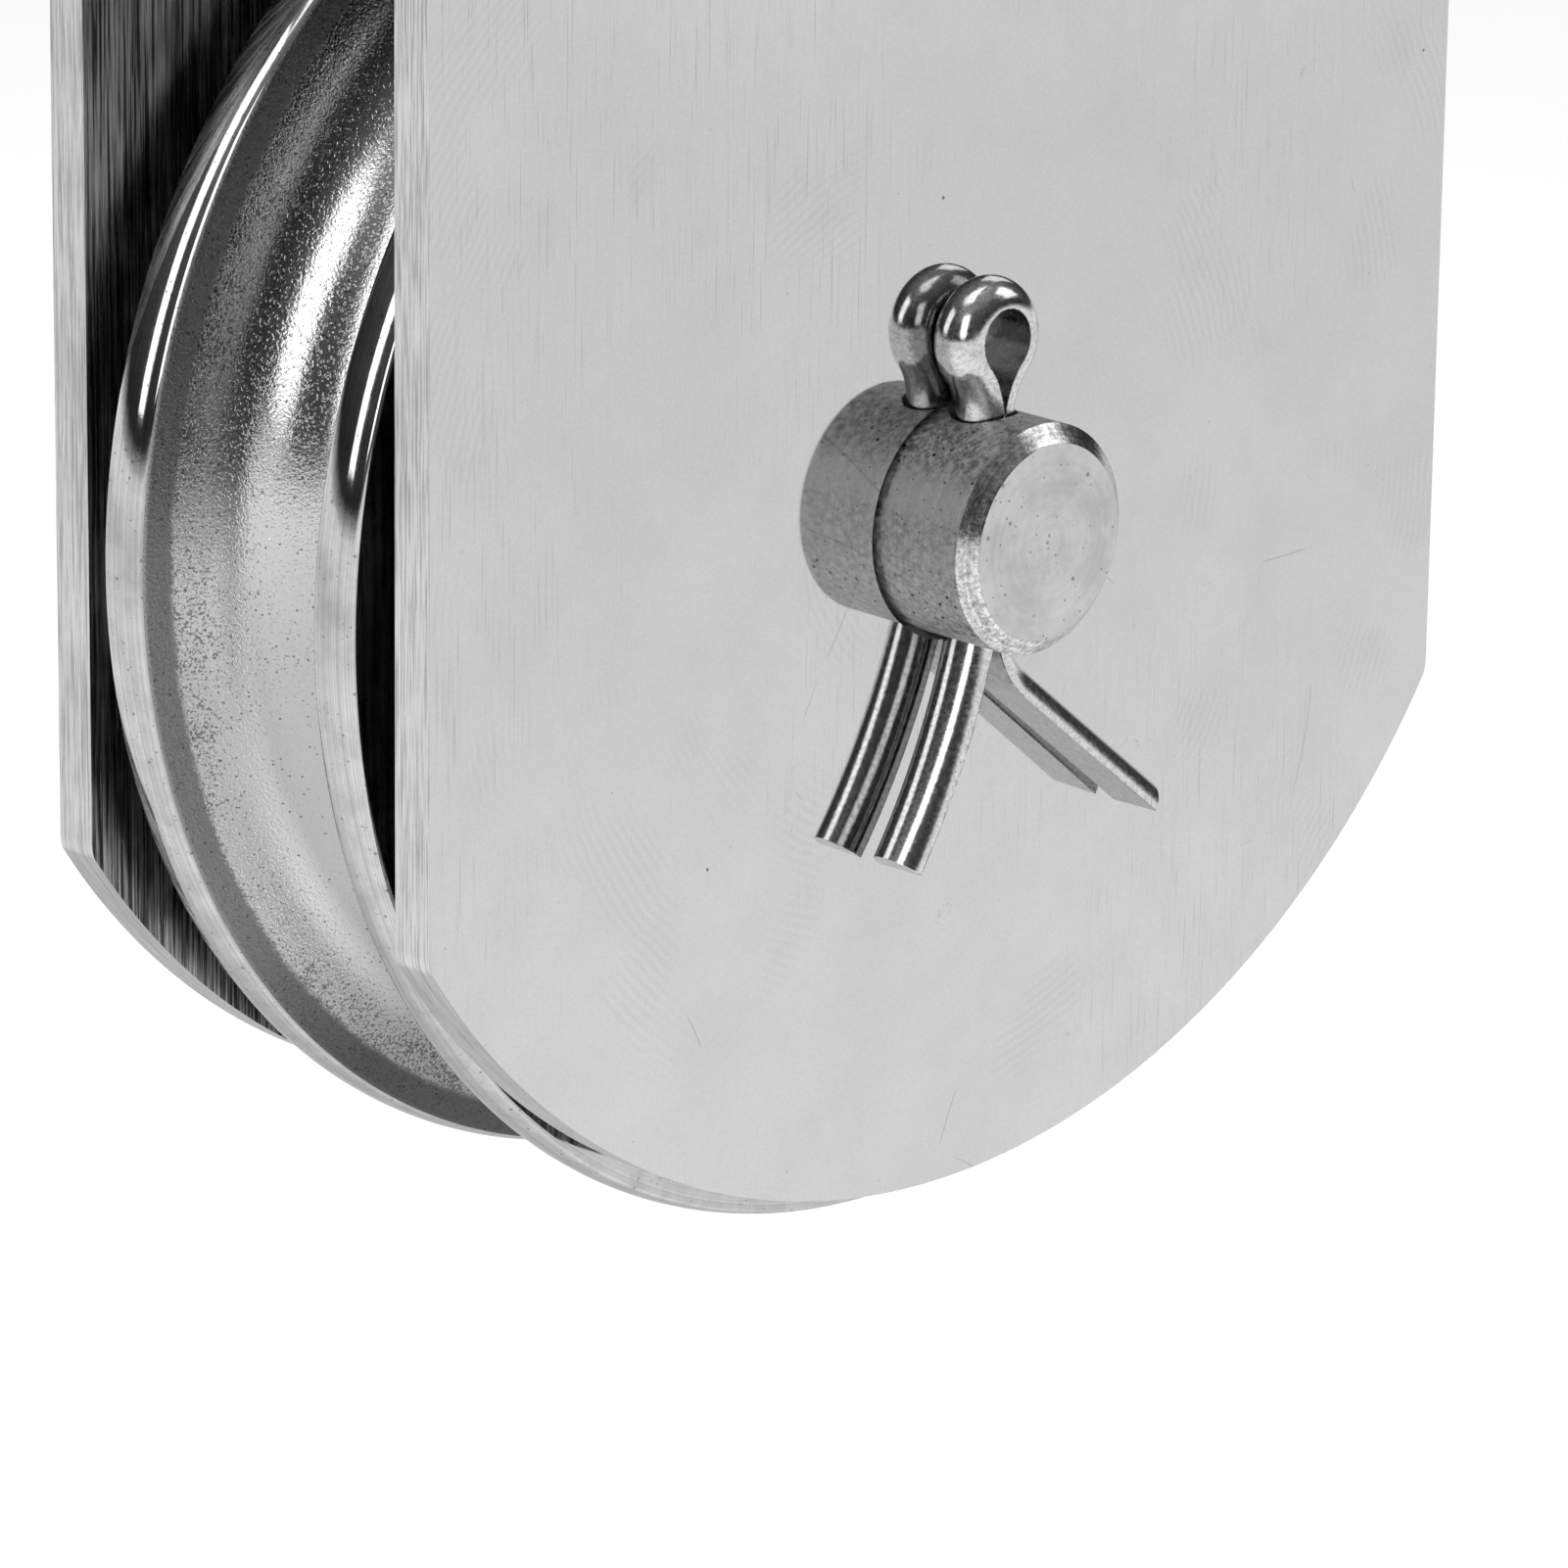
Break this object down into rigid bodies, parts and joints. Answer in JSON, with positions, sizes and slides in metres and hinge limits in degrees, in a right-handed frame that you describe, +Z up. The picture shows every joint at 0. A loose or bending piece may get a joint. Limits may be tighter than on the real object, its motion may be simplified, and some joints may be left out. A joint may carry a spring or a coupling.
{
  "type": "swivel hook pulley",
  "caption": "Lifting block with one grooved sheave on a ball bearing, hung in a bent flat-bar strap under a swivelling hook with a spring latch.",
  "frame": {"origin": "highest point inside the hook's bowl, where the load is carried", "axes": "+Z up through the hook, X across the cheeks, Y along the axle with the split pin on the -Y side"},
  "size_m": [0.1, 0.0489, 0.2166],
  "materials": {
    "stainless_bar": "polished flat bar",
    "stainless_cast": "cast, with turned and polished rims",
    "stainless_turned": "turned bright",
    "stainless_wire": "bright drawn wire",
    "stainless_forged": "forged and satin polished",
    "bearing_steel": "ground",
    "bronze": "machined",
    "spring_steel": "drawn"
  },
  "bodies": {
    "hook": {"swivel_hook": "stainless_forged", "hook_nut": "stainless_turned", "nut_roll_pin": "spring_steel", "latch_pin": "stainless_turned"},
    "frame": {"frame_strap": "stainless_bar", "swivel_washer_top": "bronze", "swivel_washer_bottom": "bronze", "axle_pin": "stainless_turned", "axle_cotter": "stainless_wire", "spacer_front": "stainless_turned", "spacer_rear": "stainless_turned", "bearing_inner_race": "bearing_steel"},
    "wheel": {"sheave": "stainless_cast", "bearing_outer_race": "bearing_steel", "bearing_shield_front": "stainless_bar", "bearing_shield_rear": "stainless_bar", "bearing_circlip": "spring_steel"},
    "cage": {"bearing_cage": "stainless_bar", "bearing_balls": "bearing_steel"},
    "latch": {"hook_latch": "stainless_bar", "latch_spring": "spring_steel"}
  },
  "joints": [
    {"name": "swivel", "type": "hinge", "parent": "hook", "child": "frame", "pos_m": [0, 0, -0.0688], "axis": [0, 0, 1], "continuous": true},
    {"name": "sheave_spin", "type": "hinge", "parent": "frame", "child": "wheel", "pos_m": [0, 0, -0.1488], "axis": [0, 1, 0], "continuous": true},
    {"name": "cage_orbit", "type": "hinge", "parent": "frame", "child": "cage", "pos_m": [0, 0, -0.1488], "axis": [0, 1, 0], "continuous": true},
    {"name": "latch_hinge", "type": "hinge", "parent": "hook", "child": "latch", "pos_m": [-0.0142, 0, -0.0515], "axis": [0, 1, 0], "range_deg": [0, 35], "stiffness_Nm_per_rad": 0.03, "springref_deg": -22.92}
  ],
  "couplings": [
    {"joint": "cage_orbit", "follows": "sheave_spin", "ratio": 0.62}
  ]
}
